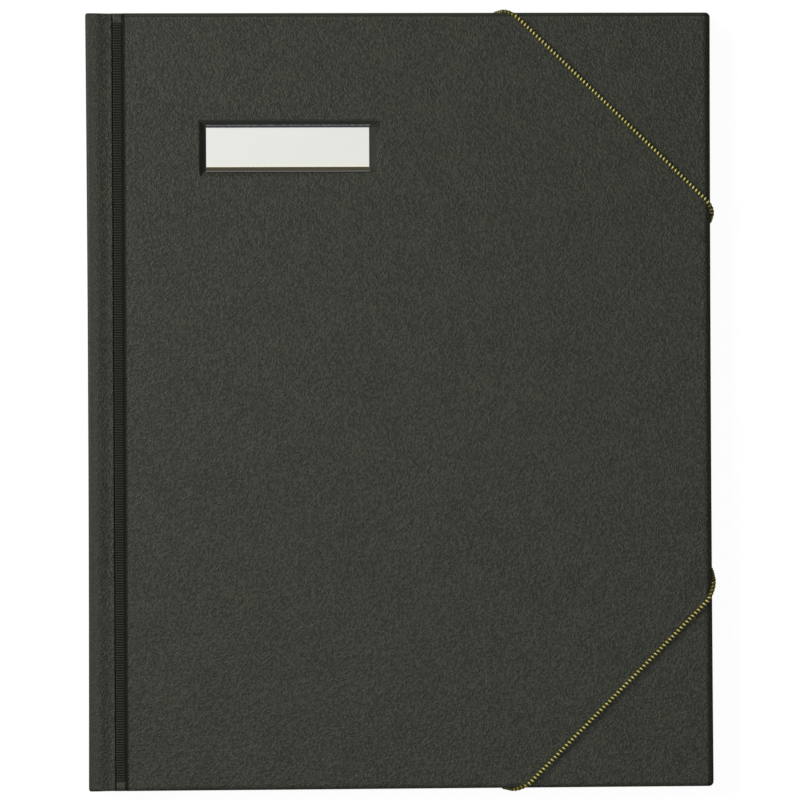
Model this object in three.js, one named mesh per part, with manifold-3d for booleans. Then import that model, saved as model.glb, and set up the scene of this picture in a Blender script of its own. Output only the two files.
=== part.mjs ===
// A4 clamp folder: a spring steel clamp inside a covered spine, two hard covers on ribbed hinges,
// a sunk label pocket and an elastic cord round each corner of the fore-edge.
// Millimetres, +Z up. The closed folder lies on its back cover, with its spine along Y on the -X side
// and its head towards +Y. The origin is the middle of the footprint, on the surface it lies on.

import * as THREE from 'three';
import { mergeVertices } from 'three/addons/utils/BufferGeometryUtils.js';
import Module from 'manifold-3d';

// Outline of the closed folder, seen from the front
const height = 319;
const jawWidth = 10.7;
const grooveWidth = 4.5;
const coverWidth = 241.8;
const coverCornerRadius = 1.9;
const coverEdgeRadius = 0.9;

// Layers of a cover
const skinThickness = 0.4;
const boardThickness = 1.3;
const liningThickness = 0.25;
const glueLine = 0.05;
const boardEdgeGap = 0.1;
const turnInWidth = 15;
const hingeTurnInWidth = 4;
const liningMargin = 4;
const hingeLiningMargin = 1.5;
const liningPanelGap = 0.3;
const sheetSpace = 4.3;

// Clearance between pieces that touch on the real folder
const seatGap = 0.3;

// Spine and the steel clamp in it
const spineRise = 0.9;
const spineBackRadius = 2.6;
const spineShoulderRadius = 1.9;
const spineEndCornerRadius = 1;
const jawDrop = 0.6;
const clampThickness = 0.8;
const clampGap = 0.25;
const clampLegTurn = 40;
const clampMouthGap = 0.3;

// Ribbed hinge strips
const hingeSheetThickness = 0.45;
const hingeSideGap = 0.3;
const hingeAxisHeight = 0.65;
const hingeSheetDrop = 1.7;
const ribPitch = 1.05;
const ribHeight = 0.33;
const ribEndMargin = 2.8;

// Sunk label pocket, measured from the spine and from the head
const pocketFromSpine = 49.1;
const pocketFromHead = 46.7;
const pocketLength = 69.3;
const pocketHeight = 17.9;
const pocketDepth = 1;
const pocketWallRun = 2.6;
const cardFromSpineEnd = 0.2;
const cardFromForeEnd = 2.2;
const cardFromHeadSide = 0.3;
const cardFromTailSide = 1.35;
const cardThickness = 0.25;
const windowPastCard = 0.4;
const windowWallGap = 0.1;
const windowThickness = 0.2;

// Elastic cords, their eyelets and end bars
const cordDiameter = 1.9;
const cordSides = 8;
const cordBendSteps = 4;
const cordEyeletBend = 1.5;
const upperCord = { reachX: 80.8, reachY: 78.6, shiftX: 9, shiftY: 9 };
const lowerCord = { reachX: 76.8, reachY: 77.6, shiftX: 11, shiftY: 12.5 };
const eyeletInset = 8.5;
const eyeletBoreRadius = 1.25;
const eyeletWall = 0.35;
const eyeletFlangeRadius = 2.5;
const eyeletFlangeThickness = 0.3;
const eyeletLipRoll = 0.2;
const eyeletBoardGap = 0.15;
const eyeletRimGap = 0.2;
const endBarLength = 12;
const endBarWidth = 2.4;
const endBarThickness = 1.2;
const endCapRadius = 1.6;
const endCapBoreRadius = 1.2;
const endCapHeight = 1.8;
const endCapTop = 0.4;

// Fineness of the round forms, and how far a cut runs past the faces it opens
const holeSides = 16;
const eyeletSides = 14;
const cornerSteps = 3;
const edgeSteps = 2;
const sectionSteps = 5;
const ribsPerPost = 16;
const cutOvershoot = 1;
const weldDistance = 1e-5;

// Levels. A depth is measured inwards from the outer face of a cover.
const boardDepth = skinThickness + glueLine;
const boardInnerDepth = boardDepth + boardThickness;
const flapDepth = boardInnerDepth + glueLine;
const coverDepth = flapDepth + skinThickness;
const liningDepth = coverDepth + glueLine;
const innerDepth = liningDepth + liningThickness;
const backFace = cordDiameter + seatGap;
const frontFace = backFace + 2 * innerDepth + sheetSpace;
const middleLevel = (backFace + frontFace) / 2;
const spineHalfThickness = (frontFace - backFace) / 2 + spineRise;

// Places along X from the back of the spine, and along Y from the middle of the folder
const coverStart = jawWidth + grooveWidth;
const foreEdge = coverStart + coverWidth;
const halfHeight = height / 2;
const pocketTop = halfHeight - pocketFromHead;
const cordRadius = cordDiameter / 2;
const cordWrapRadius = coverEdgeRadius + seatGap + cordRadius;
const cordOutermost = foreEdge - coverEdgeRadius + cordWrapRadius + cordRadius;

const FRONT = 1;
const BACK = -1;
const levelAt = (side, depth) => (side === FRONT ? frontFace - depth : backFace + depth);

const wasm = await Module();
wasm.setup();

// Closed three.js geometry to a solid that can be joined and cut
function toSolid(geometry) {
  geometry.deleteAttribute('normal');
  geometry.deleteAttribute('uv');
  const merged = mergeVertices(geometry, weldDistance);
  const mesh = new wasm.Mesh({
    numProp: 3,
    vertProperties: merged.attributes.position.array,
    triVerts: merged.index.array,
  });
  return new wasm.Manifold(mesh);
}

function toGeometry(solid) {
  const { vertProperties, triVerts } = solid.getMesh();
  const geometry = new THREE.BufferGeometry();
  geometry.setAttribute('position', new THREE.BufferAttribute(vertProperties, 3));
  geometry.setIndex(new THREE.BufferAttribute(triVerts, 1));
  geometry.computeVertexNormals();
  return geometry;
}

// Block between two X values and two levels, as long as halfLength on both sides of Y = 0
function block(x0, x1, halfLength, z0, z1) {
  const geometry = new THREE.BoxGeometry(x1 - x0, 2 * halfLength, Math.abs(z1 - z0));
  geometry.translate((x0 + x1) / 2, 0, (z0 + z1) / 2);
  return toSolid(geometry);
}

// Upright round bar, for holes
function roundBar(x, y, radius, z0, z1) {
  const geometry = new THREE.CylinderGeometry(radius, radius, Math.abs(z1 - z0), holeSides);
  geometry.rotateX(Math.PI / 2);
  geometry.translate(x, y, (z0 + z1) / 2);
  return toSolid(geometry);
}

// Flat board with round corners, its edges rounded over on both faces
function roundedBoard(x0, x1, halfLength, z0, z1, cornerRadius, edgeRadius) {
  const shape = new THREE.Shape();
  const right = x1 - cornerRadius;
  const left = x0 + cornerRadius;
  const top = halfLength - cornerRadius;
  shape.absarc(right, -top, cornerRadius, -Math.PI / 2, 0);
  shape.absarc(right, top, cornerRadius, 0, Math.PI / 2);
  shape.absarc(left, top, cornerRadius, Math.PI / 2, Math.PI);
  shape.absarc(left, -top, cornerRadius, Math.PI, 1.5 * Math.PI);
  const geometry = new THREE.ExtrudeGeometry(shape, {
    depth: Math.abs(z1 - z0) - 2 * edgeRadius,
    curveSegments: cornerSteps,
    bevelEnabled: edgeRadius > 0,
    bevelThickness: edgeRadius,
    bevelSize: edgeRadius,
    bevelOffset: -edgeRadius,
    bevelSegments: edgeSteps,
  });
  geometry.translate(0, 0, Math.min(z0, z1) + edgeRadius);
  return toSolid(geometry);
}

// Outline of a sheet that follows a line of points, between two distances on the right of it
function bandShape(points, near, far) {
  const normals = points.map((point, i) => {
    const before = points[Math.max(i - 1, 0)];
    const after = points[Math.min(i + 1, points.length - 1)];
    const ahead = after.clone().sub(point).normalize();
    const behind = point.clone().sub(before).normalize();
    const along = ahead.clone().add(behind).normalize();
    const reference = i === 0 ? ahead : behind;
    const mitre = along.dot(reference);
    return new THREE.Vector2(along.y, -along.x).divideScalar(mitre);
  });
  const offset = (distance) => points.map((p, i) => p.clone().addScaledVector(normals[i], distance));
  return new THREE.Shape([...offset(near), ...offset(far).reverse()]);
}

// Extrudes an outline drawn in X and Z along Y, centred on Y = 0
function extrudeAlongSpine(shape, halfLength) {
  const geometry = new THREE.ExtrudeGeometry(shape, { depth: 2 * halfLength, bevelEnabled: false });
  geometry.rotateX(Math.PI / 2);
  geometry.translate(0, halfLength, 0);
  return toSolid(geometry);
}

// Outer surface of the spine in section, from the middle of its back up and over the front jaw
// to the side of the shoulder; the clamp goes on round the shoulder and down its leg to the mouth.
function upperSpineLine(withLeg) {
  const shoulderX = jawWidth - spineShoulderRadius;
  const jawLevel = spineHalfThickness - jawDrop;
  const shoulderZ = jawLevel - spineShoulderRadius;
  const backZ = spineHalfThickness - spineBackRadius;
  const line = new THREE.Path();
  line.moveTo(0, 0);
  line.lineTo(0, backZ);
  line.absarc(spineBackRadius, backZ, spineBackRadius, Math.PI, Math.PI / 2, true);
  const slopeMiddle = (spineBackRadius + shoulderX) / 2;
  line.bezierCurveTo(slopeMiddle, spineHalfThickness, slopeMiddle, jawLevel, shoulderX, jawLevel);
  const turn = withLeg ? THREE.MathUtils.degToRad(clampLegTurn) : 0;
  line.absarc(shoulderX, shoulderZ, spineShoulderRadius, Math.PI / 2, -turn, true);
  if (withLeg) {
    const steelOffset = skinThickness + clampGap;
    const legX = shoulderX + spineShoulderRadius * Math.cos(turn);
    const legZ = shoulderZ - spineShoulderRadius * Math.sin(turn);
    const steelZ = legZ + steelOffset * Math.sin(turn);
    const legLength = (steelZ - clampMouthGap / 2) / Math.cos(turn);
    line.lineTo(legX - legLength * Math.sin(turn), legZ - legLength * Math.cos(turn));
  }
  return line.getPoints(sectionSteps);
}

// The whole section: the lower half is the upper one mirrored, and runs from the back mouth edge
function spineLine(withLeg) {
  const drawn = upperSpineLine(withLeg);
  const upper = drawn.filter((p, i) => i === 0 || p.distanceTo(drawn[i - 1]) > weldDistance);
  const lower = upper.slice(1).reverse().map((p) => new THREE.Vector2(p.x, -p.y));
  return [...lower, ...upper].map((p) => new THREE.Vector2(p.x, p.y + middleLevel));
}

// Spring steel clamp: one bent sheet, its two legs meeting at the mouth
function springClamp() {
  const near = skinThickness + clampGap;
  const section = bandShape(spineLine(true), near, near + clampThickness);
  return extrudeAlongSpine(section, halfHeight - skinThickness - clampGap);
}

// Leatherette sleeve over the clamp, folded over the ends of the steel at head and tail
function spineCovering() {
  const line = spineLine(false);
  const innerFace = skinThickness + clampGap + clampThickness;
  const sleeve = extrudeAlongSpine(bandShape(line, 0, innerFace), halfHeight);
  const hollow = bandShape(line, skinThickness, innerFace + clampThickness);
  const room = extrudeAlongSpine(hollow, halfHeight - skinThickness);
  const outline = roundedBoard(0, coverStart, halfHeight, 0, cordOutermost, spineEndCornerRadius, 0);
  return sleeve.subtract(room).intersect(outline);
}

// Ribbed hinge strip between the jaw and the cover board, plain at both ends. It is laid out from tail to
// head, root by root. A post is a point of the lower face, which keeps the triangles of the sides short.
function hingeStrip(side) {
  const start = jawWidth + hingeSideGap;
  const end = coverStart - hingeSideGap;
  const ribCount = Math.floor((height - 2 * ribEndMargin) / ribPitch);
  const firstRib = (-ribCount * ribPitch) / 2;
  const roots = Array.from({ length: ribCount + 1 }, (_, i) => firstRib + i * ribPitch);
  const stations = [-halfHeight, ...roots, halfHeight];
  const positions = [];
  const triangles = [];

  // A point of the outline stands for two corners, one on each side face
  const addPoint = (y, z) => {
    positions.push(start, y, z, end, y, z);
    return positions.length / 3 - 2;
  };
  const addSides = (a, b, c) => triangles.push(a, c, b, a + 1, b + 1, c + 1);
  const addWall = (a, b) => triangles.push(a, b, b + 1, a, b + 1, a + 1);

  let before;
  let lastPost;
  stations.forEach((y, i) => {
    const root = addPoint(y, hingeSheetThickness);
    const onRib = i > 1 && i <= ribCount + 1;
    if (onRib) {
      const crest = addPoint(y - ribPitch / 2, hingeSheetThickness + ribHeight);
      addSides(before, root, crest);
      addWall(root, crest);
      addWall(crest, before);
    } else if (i > 0) {
      addWall(root, before);
    }
    if (i > 0) {
      addSides(lastPost, root, before);
    }
    if (i === 0) {
      lastPost = addPoint(y, 0);
      addWall(root, lastPost);
    } else if (!onRib || i % ribsPerPost === 1) {
      const post = addPoint(y, 0);
      addSides(lastPost, post, root);
      addWall(lastPost, post);
      lastPost = post;
    }
    before = root;
  });
  addWall(lastPost, before);

  const geometry = new THREE.BufferGeometry();
  geometry.setAttribute('position', new THREE.Float32BufferAttribute(positions, 3));
  geometry.setIndex(triangles);
  if (side === BACK) {
    geometry.rotateX(Math.PI);
  }
  const lowerDepth = hingeSheetDrop - hingeAxisHeight + hingeSheetThickness / 2;
  geometry.translate(0, 0, levelAt(side, lowerDepth));
  geometry.computeVertexNormals();
  return geometry;
}

// The label pocket as a block with sloping walls, widened and deepened by the thickness of what lines it
function pocketBlock(widening) {
  const floorLevel = levelAt(FRONT, pocketDepth + widening);
  const geometry = new THREE.BoxGeometry(1, 1, 1);
  const position = geometry.attributes.position;
  for (let i = 0; i < position.count; i += 1) {
    const atRim = position.getZ(i) > 0;
    const rise = pocketDepth + cutOvershoot;
    const spread = widening + (atRim ? pocketWallRun * (rise / pocketDepth) : 0);
    const x = pocketFromSpine + pocketLength / 2 + position.getX(i) * (pocketLength + 2 * spread);
    const y = pocketTop - pocketHeight / 2 + position.getY(i) * (pocketHeight + 2 * spread);
    position.setXYZ(i, x, y, atRim ? levelAt(FRONT, -cutOvershoot) : floorLevel);
  }
  return toSolid(geometry);
}

// Places of the four eyelets, two for each cord, with the way the cord leaves them under the cover
function cordEyelets(end, cord) {
  const run = eyeletInset - coverEdgeRadius;
  const nearHead = {
    x: foreEdge - cord.reachX - cord.shiftX - run,
    y: end * (halfHeight - eyeletInset),
    barAngle: 0,
  };
  const nearForeEdge = {
    x: foreEdge - eyeletInset,
    y: end * (halfHeight - cord.reachY - cord.shiftY - run),
    barAngle: Math.PI / 2,
  };
  return [nearHead, nearForeEdge];
}

const eyelets = [...cordEyelets(1, upperCord), ...cordEyelets(-1, lowerCord)];

function cutEyeletHoles(solid, radius) {
  const below = levelAt(BACK, -cutOvershoot);
  const above = levelAt(BACK, innerDepth + cutOvershoot);
  return eyelets.reduce((rest, { x, y }) => rest.subtract(roundBar(x, y, radius, below, above)), solid);
}

// Leatherette of a cover: over the outer face, round the edges and turned in on the inner face
function coverSkin(side) {
  const outerLevel = levelAt(side, 0);
  const innerLevel = levelAt(side, coverDepth);
  const outer = roundedBoard(
    coverStart,
    foreEdge,
    halfHeight,
    outerLevel,
    innerLevel,
    coverCornerRadius,
    coverEdgeRadius,
  );
  const room = roundedBoard(
    coverStart + skinThickness,
    foreEdge - skinThickness,
    halfHeight - skinThickness,
    levelAt(side, skinThickness),
    levelAt(side, flapDepth),
    coverCornerRadius - skinThickness,
    coverEdgeRadius - skinThickness,
  );
  const mouth = block(
    coverStart + hingeTurnInWidth,
    foreEdge - turnInWidth,
    halfHeight - turnInWidth,
    levelAt(side, boardInnerDepth),
    levelAt(side, innerDepth),
  );
  const shell = outer.subtract(room).subtract(mouth);
  if (side === BACK) {
    return cutEyeletHoles(shell, eyeletFlangeRadius + eyeletRimGap);
  }
  const tray = pocketBlock(skinThickness).intersect(outer);
  return shell.add(tray).subtract(pocketBlock(0));
}

// Grey board inside the covering, sunk for the label pocket or punched for the eyelets
function coverBoard(side) {
  const inset = skinThickness + boardEdgeGap;
  const board = roundedBoard(
    coverStart + inset,
    foreEdge - inset,
    halfHeight - inset,
    levelAt(side, boardDepth),
    levelAt(side, boardInnerDepth),
    coverCornerRadius - inset,
    coverEdgeRadius - inset,
  );
  if (side === BACK) {
    return cutEyeletHoles(board, eyeletBoreRadius + eyeletWall + eyeletBoardGap);
  }
  return board.subtract(pocketBlock(skinThickness + glueLine));
}

// Lining sheet, pasted over the turned-in covering and pressed down on the board inside it
function coverLining(side) {
  const border = block(
    coverStart + hingeLiningMargin,
    foreEdge - liningMargin,
    halfHeight - liningMargin,
    levelAt(side, liningDepth),
    levelAt(side, innerDepth),
  );
  const panel = (inset, from, to) => block(
    coverStart + hingeTurnInWidth + inset,
    foreEdge - turnInWidth - inset,
    halfHeight - turnInWidth - inset,
    levelAt(side, from),
    levelAt(side, to),
  );
  const panelDepth = boardInnerDepth + glueLine;
  const pressed = panel(liningPanelGap, panelDepth, innerDepth);
  const hollow = panel(
    liningPanelGap + liningThickness,
    panelDepth + liningThickness,
    innerDepth + cutOvershoot,
  );
  const sheet = border.add(pressed).subtract(hollow);
  return side === BACK ? cutEyeletHoles(sheet, eyeletFlangeRadius + eyeletRimGap) : sheet;
}

// Flat sheet in the pocket, between two X and two Y values, its lower face at a depth
function pocketSheet(x0, x1, y0, y1, depth, thickness) {
  const sheet = new THREE.BoxGeometry(x1 - x0, y1 - y0, thickness);
  sheet.translate((x0 + x1) / 2, (y0 + y1) / 2, levelAt(FRONT, depth) + thickness / 2);
  return sheet;
}

const cardEnd = pocketFromSpine + pocketLength - cardFromForeEnd;

// Card on the floor of the pocket
function labelCard() {
  const start = pocketFromSpine + cardFromSpineEnd;
  const bottom = pocketTop - pocketHeight + cardFromTailSide;
  const depth = pocketDepth - glueLine;
  return pocketSheet(start, cardEnd, bottom, pocketTop - cardFromHeadSide, depth, cardThickness);
}

// Film over the card, its edges on the sloping walls of the pocket
function labelWindow() {
  const depth = pocketDepth - 2 * glueLine - cardThickness;
  const spread = (pocketWallRun * (pocketDepth - depth)) / pocketDepth - windowWallGap;
  const bottom = pocketTop - pocketHeight - spread;
  const end = cardEnd + windowPastCard;
  return pocketSheet(pocketFromSpine - spread, end, bottom, pocketTop + spread, depth, windowThickness);
}

// Rolled metal eyelet, its two flanges clamped on the faces of the back board
function eyelet({ x, y }) {
  const bore = eyeletBoreRadius;
  const barrel = eyeletBoreRadius + eyeletWall;
  const outside = boardDepth - glueLine;
  const inside = boardInnerDepth + glueLine;
  const outerFace = outside - eyeletFlangeThickness;
  const innerFace = inside + eyeletFlangeThickness;
  const profile = [
    [bore, outerFace + eyeletLipRoll],
    [bore + eyeletLipRoll, outerFace],
    [eyeletFlangeRadius - eyeletFlangeThickness, outerFace],
    [eyeletFlangeRadius, outside],
    [barrel, outside],
    [barrel, inside],
    [eyeletFlangeRadius, inside],
    [eyeletFlangeRadius - eyeletFlangeThickness, innerFace],
    [bore + eyeletLipRoll, innerFace],
    [bore, innerFace - eyeletLipRoll],
    [bore, outerFace + eyeletLipRoll],
  ];
  const points = profile.map(([radius, depth]) => new THREE.Vector2(radius, depth));
  const geometry = new THREE.LatheGeometry(points, eyeletSides);
  geometry.rotateX(Math.PI / 2);
  geometry.translate(x, y, backFace);
  return geometry;
}

// Crimped metal end of a cord: a cap on the cord, with a bar that can't pull back through the eyelet
function cordEnd({ x, y, barAngle }) {
  const bottom = levelAt(BACK, innerDepth + seatGap);
  const barShape = new THREE.Shape();
  const straight = (endBarLength - endBarWidth) / 2;
  barShape.absarc(straight, 0, endBarWidth / 2, -Math.PI / 2, Math.PI / 2);
  barShape.absarc(-straight, 0, endBarWidth / 2, Math.PI / 2, 1.5 * Math.PI);
  const bar = new THREE.ExtrudeGeometry(barShape, {
    depth: endBarThickness,
    curveSegments: cornerSteps,
    bevelEnabled: false,
  });
  bar.rotateZ(barAngle);
  bar.translate(x, y, bottom);
  const cap = roundBar(x, y, endCapRadius, bottom, bottom + endCapHeight);
  const bore = roundBar(x, y, endCapBoreRadius, bottom - cutOvershoot, bottom + endCapHeight - endCapTop);
  return toSolid(bar).add(cap).subtract(bore);
}

// Line through given points, passed over in equal steps from point to point
class PointRoute extends THREE.Curve {
  constructor(points) {
    super();
    this.points = points;
  }

  getUtoTmapping(u) {
    return u;
  }

  getPoint(t, target = new THREE.Vector3()) {
    const at = t * (this.points.length - 1);
    const index = Math.min(Math.floor(at), this.points.length - 2);
    return target.lerpVectors(this.points[index], this.points[index + 1], at - index);
  }

  getTangent(t, target = new THREE.Vector3()) {
    const index = Math.round(t * (this.points.length - 1));
    const here = this.points[index];
    const before = this.points[Math.max(index - 1, 0)];
    const after = this.points[Math.min(index + 1, this.points.length - 1)];
    const behind = here.clone().sub(before).normalize();
    const ahead = after.clone().sub(here).normalize();
    return target.copy(behind).add(ahead).normalize();
  }
}

// Half of a cord's way in a section square to an edge: from its end inside the back cover, down the
// eyelet, under the cover and round its edge to the front face. inward is the distance from the edge,
// along the distance from the front tangent point along the edge, away from the corner.
function halfCord(shift) {
  const run = eyeletInset - coverEdgeRadius;
  const eyeletAlong = shift + run;
  const slant = Math.SQRT1_2;
  const points = [];
  const add = (inward, along, z) => points.push({ inward, along, z });
  const endInCap = innerDepth + seatGap + endCapHeight - endCapTop - seatGap;
  add(eyeletInset, eyeletAlong, levelAt(BACK, endInCap));
  for (let i = 0; i <= cordBendSteps; i += 1) {
    const turned = (i / cordBendSteps) * (Math.PI / 2);
    const out = cordEyeletBend * (1 - Math.cos(turned));
    const z = cordRadius + cordEyeletBend * (1 - Math.sin(turned));
    add(eyeletInset - out * slant, eyeletAlong - out * slant, z);
  }
  const arc = (Math.PI / 2) * cordWrapRadius;
  const upright = frontFace - backFace - 2 * coverEdgeRadius;
  const total = 2 * arc + upright;
  for (let i = 0; i <= cordBendSteps; i += 1) {
    const turned = (i / cordBendSteps) * (Math.PI / 2);
    const inward = coverEdgeRadius - cordWrapRadius * Math.sin(turned);
    const z = backFace + coverEdgeRadius - cordWrapRadius * Math.cos(turned);
    const covered = (turned * cordWrapRadius) / total;
    add(inward, shift * (1 - covered), z);
  }
  for (let i = 0; i <= cordBendSteps; i += 1) {
    const turned = (i / cordBendSteps) * (Math.PI / 2);
    const inward = coverEdgeRadius - cordWrapRadius * Math.cos(turned);
    const z = frontFace - coverEdgeRadius + cordWrapRadius * Math.sin(turned);
    const covered = (arc + upright + turned * cordWrapRadius) / total;
    add(inward, shift * (1 - covered), z);
  }
  return points;
}

// Elastic cord round one corner of the fore-edge; end is 1 at the head and -1 at the tail
function elasticCord(end, { reachX, reachY, shiftX, shiftY }) {
  const overHead = halfCord(shiftX).map(({ inward, along, z }) => (
    new THREE.Vector3(foreEdge - reachX - along, end * (halfHeight - inward), z)
  ));
  const overForeEdge = halfCord(shiftY).map(({ inward, along, z }) => (
    new THREE.Vector3(foreEdge - inward, end * (halfHeight - reachY - along), z)
  ));
  const route = new PointRoute([...overHead, ...overForeEdge.reverse()]);
  const section = new THREE.Shape();
  section.absarc(0, 0, cordRadius, 0, 2 * Math.PI);
  return new THREE.ExtrudeGeometry(section, {
    steps: route.points.length - 1,
    curveSegments: cordSides / 2,
    extrudePath: route,
  });
}

// Finishes
const leatherette = new THREE.MeshStandardMaterial({ color: 0x3c3d35, roughness: 0.55 });
const greyBoard = new THREE.MeshStandardMaterial({ color: 0x8a857a, roughness: 0.9 });
const liningPaper = new THREE.MeshStandardMaterial({ color: 0x26272a, roughness: 0.8 });
const springSteel = new THREE.MeshStandardMaterial({ color: 0x9a9c9e, roughness: 0.35, metalness: 1 });
const whiteCard = new THREE.MeshStandardMaterial({ color: 0xe5e5e0, roughness: 0.6 });
const clearFilm = new THREE.MeshStandardMaterial({
  color: 0xffffff,
  roughness: 0.05,
  opacity: 0.2,
  transparent: true,
});
const goldElastic = new THREE.MeshStandardMaterial({ color: 0x6b5a1e, roughness: 0.7 });
const darkMetal = new THREE.MeshStandardMaterial({ color: 0x2b2b2b, roughness: 0.4, metalness: 0.8 });

const folder = new THREE.Group();

function addPiece(name, geometry, material) {
  const mesh = new THREE.Mesh(geometry, material);
  mesh.name = name;
  folder.add(mesh);
}

addPiece('spring_clamp', toGeometry(springClamp()), springSteel);
addPiece('spine_covering', toGeometry(spineCovering()), leatherette);
for (const [side, name] of [[FRONT, 'front'], [BACK, 'back']]) {
  addPiece(`${name}_hinge_strip`, hingeStrip(side), leatherette);
  addPiece(`${name}_covering`, toGeometry(coverSkin(side)), leatherette);
  addPiece(`${name}_board`, toGeometry(coverBoard(side)), greyBoard);
  addPiece(`${name}_lining`, toGeometry(coverLining(side)), liningPaper);
}
addPiece('label_card', labelCard(), whiteCard);
addPiece('label_window', labelWindow(), clearFilm);
addPiece('upper_elastic', elasticCord(1, upperCord), goldElastic);
addPiece('lower_elastic', elasticCord(-1, lowerCord), goldElastic);
eyelets.forEach((place, i) => {
  addPiece(`eyelet_${i + 1}`, eyelet(place), darkMetal);
  addPiece(`cord_end_${i + 1}`, toGeometry(cordEnd(place)), darkMetal);
});

folder.position.x = -cordOutermost / 2;

export default folder;
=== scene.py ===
import math

import bmesh
import bpy
from mathutils import Euler, Matrix, Vector


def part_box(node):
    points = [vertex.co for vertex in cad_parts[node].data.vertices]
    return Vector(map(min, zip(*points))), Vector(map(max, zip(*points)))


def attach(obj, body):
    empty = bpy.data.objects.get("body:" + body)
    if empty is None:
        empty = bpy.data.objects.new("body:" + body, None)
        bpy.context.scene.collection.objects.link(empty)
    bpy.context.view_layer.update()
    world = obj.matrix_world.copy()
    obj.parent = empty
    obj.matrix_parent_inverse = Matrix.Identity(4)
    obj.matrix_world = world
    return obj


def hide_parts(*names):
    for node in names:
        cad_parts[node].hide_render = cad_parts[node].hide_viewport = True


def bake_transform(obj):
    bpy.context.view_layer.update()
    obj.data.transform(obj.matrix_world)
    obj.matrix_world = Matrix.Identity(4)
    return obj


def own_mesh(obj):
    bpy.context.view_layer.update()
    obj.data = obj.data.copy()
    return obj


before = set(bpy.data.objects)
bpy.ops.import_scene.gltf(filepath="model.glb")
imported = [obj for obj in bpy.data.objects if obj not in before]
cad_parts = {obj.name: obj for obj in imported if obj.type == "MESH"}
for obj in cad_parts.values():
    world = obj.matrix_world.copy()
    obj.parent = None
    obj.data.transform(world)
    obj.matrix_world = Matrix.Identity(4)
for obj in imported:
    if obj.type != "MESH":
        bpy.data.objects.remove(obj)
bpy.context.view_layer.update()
MM = 0.001


# Camera: straight above the closed folder, about 1.3 m up and leaning 1.7 degrees towards the spine,
# which makes the spine side of the photograph a little longer than the fore-edge side.
camera_aim = Vector((-1.25, 0.32, 11.5)) * MM
camera_turn = Euler((0.00103, -0.0301, -0.00509), "XYZ")
camera_height = 1.3
camera = bpy.data.objects.new("camera", bpy.data.cameras.new("camera"))
camera.location = camera_aim + camera_turn.to_matrix() @ Vector((0, 0, camera_height))
camera.rotation_euler = camera_turn
camera.data.lens = 142.35
camera.data.sensor_width = 36
bpy.context.scene.collection.objects.link(camera)
bpy.context.scene.camera = camera


# Elastic cords: a black rubber core wound with one gold metallic yarn, 1.9 mm thick over the yarn.
# Each is stretched over a corner of the front cover and round its two edges, and its ends go up
# through eyelets in the back cover. It rides on that cover, and the run over the front goes slack.
class Shade:
    """One socket of a finish, so that masks can be added, subtracted and multiplied."""

    def __init__(self, tree, socket):
        self.tree = tree
        self.socket = socket

    def maths(self, operation, other, other_first=False):
        node = self.tree.nodes.new("ShaderNodeMath")
        node.operation = operation
        values = (other, self) if other_first else (self, other)
        for place, value in enumerate(values):
            if isinstance(value, Shade):
                self.tree.links.new(value.socket, node.inputs[place])
            else:
                node.inputs[place].default_value = value
        return Shade(self.tree, node.outputs[0])

    def __add__(self, other):
        return self.maths("ADD", other)

    __radd__ = __add__

    def __sub__(self, other):
        return self.maths("SUBTRACT", other)

    def __rsub__(self, other):
        return self.maths("SUBTRACT", other, other_first=True)

    def __mul__(self, other):
        return self.maths("MULTIPLY", other)

    __rmul__ = __mul__


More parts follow.
